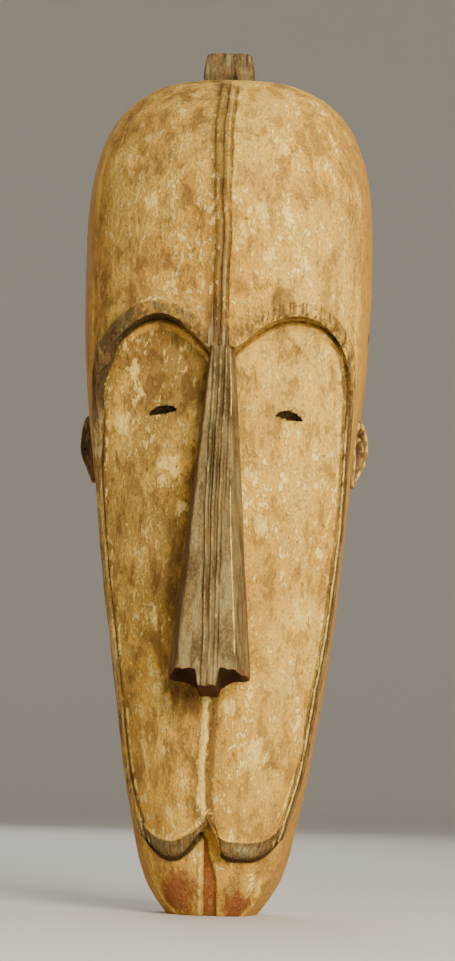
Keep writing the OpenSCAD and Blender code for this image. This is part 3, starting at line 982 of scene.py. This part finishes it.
def make_shell(material):
    skin = Skin()
    for carve in (carve_reeds, carve_brows, carve_border, carve_jaw, carve_philtrum, carve_chin,
                  paint_stains, bare_sides):
        carve(skin)
    skin.masks["cavity"] = np.minimum(skin.masks["cavity"], DEEPEST_SKIN_SHADE)
    outer = to_row_frame(skin.form)
    outer += grid_normals(outer) * skin.relief[..., None]
    outer[:, [0, -1], 1] = RIM_Y
    outer[0, :, 2] = 0.0
    outer[..., 2] = np.maximum(outer[..., 2], 0.0)

    rows, columns = outer.shape[:2]
    picked = np.arange(0, rows, ROWS_PER_INNER_ROW)
    if picked[-1] != rows - 1:
        picked = np.append(picked, rows - 1)
    hollow = inner_form(outer[picked, 0, 2])
    inner = to_row_frame(hollow)
    inner += grid_normals(inner) * GOUGE_D * (gouged(hollow) - 0.35)[..., None]
    inner[:, [0, -1], 1] = RIM_Y

    lining = {"bare": 1.0, "stain": 0.5}
    masks = joined_masks((skin.masks, outer.shape[:2]), (lining, inner.shape[:2]))
    points = np.concatenate([outer.reshape(-1, 3), inner.reshape(-1, 3)])
    faces = shell_faces(rows, columns, picked, inner.shape[1])
    shell = make_piece("carved_shell", points, faces, material, masks, SHELL_SHARP)
    cut(shell, hole_cutters())
    shell.data.set_sharp_from_angle(angle=math.radians(SHELL_SHARP))
    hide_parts("mask_shell")


AROUND = circle(48)


def eye_ring(eye, depth, drop, shrink):
    """One ring of a ragged, arched lens."""
    lean = math.radians(eye["tilt"])
    loop = [Vector((3 * math.cos(a), 3 * math.sin(a), eye["x"] * 0.09)) for a in AROUND]
    ragged = 1 + 0.16 * np.array([noise.noise(p) for p in loop])
    across = eye["w"] / 2 * np.cos(AROUND) * ragged
    up = eye["h"] / 2 * np.sin(AROUND) * np.abs(np.sin(AROUND)) ** 0.3 * ragged
    up = up + 1.3 * (1 - (across / (eye["w"] / 2)) ** 2)
    across, up = across * shrink, up * shrink - drop
    x = eye["x"] + across * math.cos(lean) - up * math.sin(lean)
    z = eye["z"] + across * math.sin(lean) + up * math.cos(lean)
    return join(x, RIM_Y - depth, z)


def tie_ring(x):
    return join(x, RIM_Y - TIE_D + TIE_R * np.cos(AROUND), TIE_Z + TIE_R * np.sin(AROUND))


def hole_cutters():
    """One object with the eye slits, which slant down as they go in, and the two tie holes."""
    tubes = []
    for eye in EYES:
        front = [eye_ring(eye, depth, 0, 1) for depth in (FOREHEAD_D, HOLLOW_D + FOREHEAD_HOLLOW)]
        tubes.append(front + [eye_ring(eye, depth, 4.8, 0.72) for depth in (HOLLOW_D, HOLLOW_D - 20)])
    tie_outer, tie_inner = HALF_W + 10, HALF_W - WALL - 12
    tubes.append([tie_ring(tie_outer), tie_ring(tie_inner)])
    tubes.append([tie_ring(-tie_inner), tie_ring(-tie_outer)])
    faces, start = [], 0
    for rings in tubes:
        faces += flipped(tube_faces(len(rings), len(AROUND), start))
        start += len(rings) * len(AROUND)
    # the walls of the holes are painted near-black, a painted shade inside the eye slits and tie holes
    dark = {"brown": 1, "bare": 1, "cavity": 1}
    points = np.concatenate([ring for rings in tubes for ring in rings])
    return show("cutters", make_mesh("cutters", points, faces, dark))


def cut(piece, cutter):
    """Takes the cutter out of the piece and throws the cutter away."""
    modifier = piece.modifiers.new("holes", "BOOLEAN")
    modifier.object = cutter
    modifier.operation = "DIFFERENCE"
    modifier.solver = "EXACT"
    graph = bpy.context.evaluated_depsgraph_get()
    result = bpy.data.meshes.new_from_object(piece.evaluated_get(graph))
    piece.modifiers.clear()
    piece.data = result
    bpy.data.objects.remove(cutter)


# ---- Nose ----

NOSE_ROWS = 170
NOSE_COLUMNS = 190
NOSE_RINGS = 36
PROFILE_POINTS = 2400
PROFILE_BLUR = 91  # points across the rounding of the profile's corners
SEPTUM_HALF = 8
NOSE_BLEND_Z = 352  # from here up the nose sinks to the level of the forehead


def nose_rise(z):
    return clamp((z - NOSE_FOOT) / (NOSE_TOP - NOSE_FOOT))


def nose_half(z):
    return mix(NOSE_W, BRIDGE_W, nose_rise(z)) / 2


def nose_front(z):
    return mix(NOSE_TIP_D, BRIDGE_D, nose_rise(z))


def nose_mid(z):
    return NOSE_LEAN * (1 - nose_rise(z))


def nose_profile():
    """Outline of a section as shares (across, out), from the right seat round to the left seat."""
    corners = np.array([(1, 0), (0.985, 0.45), (0.69, 0.945), (0.62, 0.985), (0, 1),
                        (-0.74, 0.985), (-0.8, 0.945), (-0.985, 0.45), (-1, 0)])
    run = np.concatenate([[0], np.cumsum(np.linalg.norm(np.diff(corners, axis=0), axis=1))])
    path = points_along(np.linspace(0, run[-1], PROFILE_POINTS), run, corners)
    kernel = np.hanning(PROFILE_BLUR) / np.hanning(PROFILE_BLUR).sum()
    padded = np.pad(path, ((PROFILE_BLUR // 2,) * 2, (0, 0)), mode="edge")
    smooth = join(*[np.convolve(values, kernel, mode="valid") for values in padded.T])
    smooth[0], smooth[-1] = path[0], path[-1]
    across = smooth[:, 0]
    weight = 1 + 2.6 * hump(across, 0.42) + 2.5 * hump(np.abs(across) - 0.30, 0.07)
    total = np.concatenate([[0], np.cumsum(weight[1:])])
    index = np.arange(PROFILE_POINTS)
    picks = np.interp(np.linspace(0, total[-1], NOSE_COLUMNS), total, index)
    return points_along(picks, index, smooth)


def points_along(places, run, path):
    """Points at some places along a path whose own points lie at the places in run."""
    return join(*[np.interp(places, run, values) for values in path.T])


def nose_underside(x, out, r):
    """Height of the underside, and masks for the nostrils and the septum.

    out is 1 at the front; r is 1 at the underside's outline and 0 in its middle.
    """
    side = clamp(np.abs(x) / (NOSE_W / 2))
    back = mix(149.5, 158, side**1.2)
    height = mix(back, mix(164.5, 162.5, side**3), clamp((out - 0.12) / 0.84))
    nostril = (1 - r**5) * hump(side - 0.6, 0.42) * hump(out - 0.5, 0.6)
    septum = 1 - ramp(np.abs(x), SEPTUM_HALF - 2.4, 2.6)
    height = mix(height + 6 * nostril, mix(146, 153, out), septum)
    height = height + 0.7 * np.sin(x / 1.9) * np.sin(x / 3.1 + 1) * ramp(out, 0.2, 0.3)
    return height, nostril * (1 - septum), septum


def nose_reeds(x, z):
    """Light beads and the dark grooves on both sides of them, down the front of the nose."""
    rise = nose_rise(z)
    middle = curve([(0, 0.9), (0.15, 0.5), (0.4, -0.8), (0.6, -1.2), (0.8, -0.5), (1, -0.6)], rise)
    across = x - middle - 0.2 * np.sin(z / 9) - 0.12 * np.sin(z / 4.1 + 1)
    pitch = mix(3.9, 4.4, hump(rise - 0.55, 0.4))
    beads, grooves = 0, 0
    for k, start in ((-1, 0), (0, 0), (1, 0), (2, 0.55)):
        shown = ramp(rise, start - 0.1, 0.1)
        near = across - k * pitch
        beads = beads + shown * hump(near, 1.1)
        grooves = grooves + shown * (hump(near - 1.45, 1.0) + hump(near + 1.45, 1.0))
    return beads, grooves


def make_nose(material):
    side, out = nose_profile().T
    foot_x = side * NOSE_W / 2
    foot = nose_underside(foot_x, out, 1.0)[0]
    t = spread(lambda v: 1 + 1.5 * hump(v, 0.08), NOSE_ROWS, 0.0, 1.0)[:, None]
    z = mix(foot, NOSE_TOP, t)
    rise = nose_rise(z)
    from_middle = side * nose_half(z)
    sunk = (BRIDGE_D - head_depth(z) - 1) * ramp(z, NOSE_BLEND_Z, NOSE_TOP - NOSE_BLEND_Z)
    form = join(nose_mid(z) + from_middle, mix(NOSE_SEAT, nose_front(z) - sunk, out), z)

    at_front = ramp(out, 0.9, 0.06)
    beads, grooves = nose_reeds(from_middle, z)
    quick = lumps(form, 9, 5, 3, 3.0)
    slow = lumps(form, 30, 6, 2, 2.0)
    relief = at_front * (0.6 * beads - grooves * clamp(0.8 + 0.4 * quick)) + 0.2 * quick + 0.45 * slow
    points = to_row_frame(form)
    foot_row = points[0].copy()
    points += grid_normals(points) * relief[..., None]
    points[0] = foot_row

    foot_red = 0.5 * (1 - ease(t / 0.02)) * (np.abs(side) > 0.31)
    right_arris = mix(0.68, 0.6, hump(rise - 0.5, 0.5))
    lit = mix(0.75, 1.25, ramp(rise, 0.75, -0.5)) * ramp(rise, 0.02, 0.05)
    masks = {
        "pale": 0.3 * beads * at_front + lit * hump(side - right_arris, 0.03),
        "cavity": grooves * at_front * mix(0.45, 0.75, rise) * clamp(0.8 + 0.8 * quick),
        # brown and red on the side planes, more on the left, where the extra is painted shade
        "brown": 0.35 * ramp(side, -0.76, -0.06) + 0.3 * ramp(side, 0.72, 0.06) + 0.3 * slow,
        "red": mix(0.3, 0.55, side < 0) * ramp(np.abs(side), 0.74, 0.1) + foot_red,
        "grey": at_front * (0.35 + 0.6 * slow) * hump(np.abs(from_middle) - 9, 14),
    }

    # the underside is a fan of rings that shrink from the foot's outline to the middle of the seat
    r = np.linspace(1, 0, NOSE_RINGS + 1)[1:, None]
    under_z, nostril, septum = nose_underside(foot_x * r, out * r, r)
    under_depth = mix(NOSE_SEAT, nose_front(NOSE_FOOT), out * r)
    under = join(NOSE_LEAN + foot_x * r, RIM_Y - under_depth, under_z)
    # the underside: red paint darkened nearly to black, a painted shade under the nose
    under_masks = {"red": 1, "cavity": 0.88 + 0.12 * nostril - 0.12 * septum, "brown": 0.6}
    all_points = np.concatenate([points.reshape(-1, 3), under.reshape(-1, 3)])
    all_masks = joined_masks((masks, z.shape), (under_masks, under_z.shape))
    piece = make_piece("carved_nose", all_points, nose_faces(), material, all_masks, 60)
    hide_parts("nose")


def nose_faces():
    """The wall, the underside's rings, the top end and the seat."""
    rows, columns = NOSE_ROWS, NOSE_COLUMNS
    start = rows * columns
    faces = flipped(grid_faces(rows, columns))
    faces += [[i, i + 1, start + i + 1, start + i] for i in range(columns - 1)]
    faces += grid_faces(NOSE_RINGS, columns, start)
    faces.append([start - columns + i for i in reversed(range(columns))])
    right, left = range(0, start, columns), range(columns - 1, start, columns)
    faces += [[right[r], right[r + 1], left[r + 1], left[r]] for r in range(rows - 1)]
    return faces


# ---- Ears ----

EAR_RINGS = 44
EAR_COLUMNS = 96
EAR_SEAT_X = 86.5
EAR_MID_Y = (ear_low.y + ear_high.y) / 2 / MM
EAR_Z = (ear_low.z + ear_high.z) / 2 / MM
EAR_H = (ear_high.z - ear_low.z) / MM
EAR_OUT = ear_high.x / MM - EAR_SEAT_X
EAR_TENON_R = 5
EAR_TENON_END = ear_low.x / MM - EAR_SEAT_X


def ear_reach(turn):
    """Distance from the ear's middle to its edge, seen from the side; turn is 0 towards the back."""
    wide = mix(10.5, 14.6, ease((np.sin(turn) + 1) / 2))
    return 1 / np.sqrt((np.cos(turn) / wide) ** 2 + (np.sin(turn) / (EAR_H / 2)) ** 2)


def ear_surface(r, turn):
    """How far the ear's face stands from the seat, how hollow it is there, and the helix.

    The ear is flared: its back edge stands out furthest, and it tapers down to the lobe.
    """
    back = np.cos(turn) * r * ear_reach(turn) / 13
    up = np.sin(turn) * r * ear_reach(turn) / (EAR_H / 2)
    lean = mix(0.30, 1.0, clamp((back + 1) / 2)) * mix(0.5, 1.0, ease(up + 1)) * EAR_OUT
    helix = ramp(r, 0.72, 0.10) * (1 - 0.4 * ramp(r, 0.94, 0.06))
    at_back = ease((np.cos(turn - 0.4) + 0.6) / 0.7)
    dip = hump(r - 0.66, 0.10) * at_back
    fold = hump(r - 0.46, 0.12) * at_back * (1 - 0.8 * hump(turn - 0.1, 0.35))
    bowl = 1 - ramp(r, 0.08, 0.34)
    carving = 3.0 * (helix - 1) - dip + 2.4 * fold - 1.2 * bowl
    hollow = clamp((1 - helix) * (0.55 + 0.45 * dip + 0.45 * bowl - 0.9 * fold))
    return lean + carving, hollow, clamp(helix + 0.8 * fold)


def make_ear(side, material):
    turn = circle(EAR_COLUMNS)
    turn = np.where(turn > math.pi, turn - 2 * math.pi, turn)
    edge = ear_reach(turn)
    rim = ear_surface(1.0, turn)[0]
    # each ring has a radius, a distance from the seat, and its hollow and helix masks
    rings = [(r * edge, *ear_surface(r, turn)) for r in np.linspace(0.02, 1, EAR_RINGS)]
    for s in np.linspace(0, 1, 9)[1:]:
        rings.append(((1 - 0.1 * s**2) * edge, mix(rim, -0.5, s), 0.15 + 0.75 * ramp(s, 0.5, 0.5), 0.0))
    for radius, out in ((EAR_TENON_R, 0.0), (EAR_TENON_R, EAR_TENON_END), (1, EAR_TENON_END)):
        rings.append((radius, out, 0.1, 0.0))
    rings = np.array([np.broadcast_arrays(*ring, turn)[:4] for ring in rings])
    radius, out, hollow, helix = rings.swapaxes(0, 1)
    form = join(EAR_SEAT_X + out, EAR_MID_Y + radius * np.cos(turn), EAR_Z + radius * np.sin(turn))
    form[..., 0] += 0.22 * lumps(form, 6, 11 + side, 2)
    form[..., 0] *= side
    faces = tube_faces(len(rings), EAR_COLUMNS)
    label = "right" if side > 0 else "left"
    # painted shade in the ear's hollows and over the whole left ear, and a painted highlight on the right
    # ear's helix
    masks = {"cavity": 0.75 * hollow, "pale": 0.55 * helix * (side > 0), "brown": 0.1 + 0.5 * (side < 0)}
    piece = make_piece(f"carved_ear_{label}", form, faces if side > 0 else flipped(faces), material,
                       masks, 70)
    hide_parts(f"ear_{label}")


# ---- Crest lug ----

LUG_ROWS = 30
LUG_COLUMNS = 128
LUG_RINGS = 14
LUG_MID = np.array([lug_low.x + lug_high.x, lug_low.y + lug_high.y, 0]) / 2 / MM
LUG_HALF_X = (lug_high.x - lug_low.x) / 2 / MM
LUG_HALF_Y = (lug_high.y - lug_low.y) / 2 / MM
LUG_SEAT = HEAD_H - 8
LUG_TOP = lug_high.z / MM


def make_lug(material):
    """The block on the crown: tapered, split along the grain, with a rough end."""
    turn = circle(LUG_COLUMNS)
    square = 1 / (np.abs(np.cos(turn)) ** 7 + np.abs(np.sin(turn)) ** 7) ** (1 / 7)
    flat = join(np.cos(turn) * square * LUG_HALF_X, np.sin(turn) * square * LUG_HALF_Y, 0.0)
    rise = np.linspace(0, 1, LUG_ROWS)
    taper = mix(1.0, 0.90, ramp(rise, 0.35, 0.65)) * mix(1, 0.93, ramp(rise, 0.9, 0.1))
    scale = np.concatenate([taper, taper[-1] * np.linspace(1, 0, LUG_RINGS + 1)[1:]])
    height = np.concatenate([mix(LUG_SEAT, LUG_TOP - 0.8, rise), np.full(LUG_RINGS, LUG_TOP - 0.3)])
    form = flat * scale[:, None, None]
    form[..., 2] = height[:, None]
    outward = flat / np.linalg.norm(flat, axis=-1, keepdims=True)
    wall = (np.arange(len(scale)) < LUG_ROWS)[:, None]
    splits = clamp(-1.6 * lumps(form * [1, 1, 0.12], 3.2, 21, 3))
    push = wall * (0.5 * lumps(form, 8, 22, 3) - splits)
    form = form + outward * push[..., None] + LUG_MID
    end = form[LUG_ROWS - 1:]
    end[..., 2] += 0.9 * lumps(end, 5, 23, 3) - 1.0
    form[..., 2] = np.minimum(form[..., 2], LUG_TOP)
    foot = 1 - ramp(form[..., 2], HEAD_H, 3)
    masks = {
        "brown": 0.25 * clamp(0.4 - splits),
        "pale": 0.12 * (1 - splits),
        "cavity": 0.75 * splits + 0.35 * foot,
    }
    faces = tube_faces(len(form), LUG_COLUMNS, ends=1)
    piece = make_piece("carved_lug", form, faces, material, masks, 70)
    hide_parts("crest_lug")


# ---- Stage ----


def make_floor():
    """A wide pale bowl, in metres: flat under the mask and curving up far away, with no horizon."""
    flat, bend, top, turns = 3.5, 2.5, 6.0, 64
    path = [(0.02, 0.0), (1.5, 0.0), (flat, 0.0)]
    path += [(flat + bend * math.sin(a), bend - bend * math.cos(a))
             for a in np.linspace(0.1, math.pi / 2, 14)]
    path.append((flat + bend, top))
    points = [(r * math.cos(a), r * math.sin(a), z) for r, z in path for a in circle(turns)]
    faces = tube_faces(len(path), turns, ends=1)
    mesh = bpy.data.meshes.new("floor")
    mesh.from_pydata(points, [], faces)
    mesh.polygons.foreach_set("use_smooth", [True] * len(faces))
    material = bpy.data.materials.new("floor")
    material.use_nodes = True
    shader = material.node_tree.nodes["Principled BSDF"]
    shader.inputs["Base Color"].default_value = (0.62, 0.60, 0.57, 1)
    shader.inputs["Roughness"].default_value = 0.9
    mesh.materials.append(material)
    floor = show("floor", mesh)


def aim(thing, target):
    thing.rotation_euler = (target - thing.location).to_track_quat("-Z", "Y").to_euler()


LIT_Z = 0.32  # height in metres that the lights aim at


def make_light(name, place, size, power, colour):
    lamp = bpy.data.lights.new(name, "AREA")
    lamp.size = size
    lamp.energy = power
    lamp.color = colour
    light = show(name, lamp)
    light.location = place
    aim(light, Vector((0, 0, LIT_Z)))


def make_lights():
    make_light("key", (1.0, -1.85, 1.0), 1.2, 100, (1.0, 0.91, 0.72))
    make_light("fill", (-1.5, -1.7, 0.3), 1.2, 6, (1.0, 0.93, 0.82))
    make_light("top", (0.1, 0.3, 2.0), 1.2, 9, (1.0, 0.96, 0.90))
    make_light("back", (-0.6, 2.0, 1.2), 1.2, 14, (1.0, 0.96, 0.92))
    world = bpy.data.worlds.new("studio")
    world.use_nodes = True
    background = world.node_tree.nodes["Background"]
    background.inputs["Color"].default_value = (1.0, 0.96, 0.9, 1)
    background.inputs["Strength"].default_value = 0.4
    bpy.context.scene.world = world


CAMERA_AZIMUTH = math.radians(2.3)
CAMERA_ELEVATION = math.radians(-6.0)
CAMERA_ROLL = math.radians(1.55)
CAMERA_DISTANCE = 1.9
VIEW_HEIGHT = 0.653  # height that the picture takes in at the mask
VIEW_OFFSET = Vector((4.8 * MM, 0, -6.2 * MM))


def make_camera():
    camera = show("camera", bpy.data.cameras.new("camera"))
    camera.data.lens = camera.data.sensor_width * CAMERA_DISTANCE / VIEW_HEIGHT
    level = math.cos(CAMERA_ELEVATION)
    back = Vector((math.sin(CAMERA_AZIMUTH) * level, -math.cos(CAMERA_AZIMUTH) * level,
                   math.sin(CAMERA_ELEVATION)))
    middle = Vector((0, 0, cad_high.z / 2))
    camera.location = middle + back * CAMERA_DISTANCE
    aim(camera, middle + VIEW_OFFSET)
    camera.rotation_euler.rotate_axis("Z", CAMERA_ROLL)
    bpy.context.scene.camera = camera


# ---- Build ----

pegs = peg_wood()
for node_name in ("nose_dowels", "ear_pegs", "crest_peg"):
    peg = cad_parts[node_name]
    peg.data.materials.clear()
    peg.data.materials.append(pegs)

make_shell(whitened_wood())
make_nose(stained_wood("stained_wood", rgb(80, 62, 34), rgb(126, 104, 62), GREY, 0.55))
ear_wood = stained_wood("ear_wood", rgb(84, 60, 34), rgb(132, 100, 60), rgb(168, 136, 88), 0.5)
make_ear(1, ear_wood)
make_ear(-1, ear_wood)
make_lug(stained_wood("bare_wood", rgb(72, 54, 32), rgb(126, 100, 60), GREY, 0.7))
make_floor()
make_lights()
make_camera()
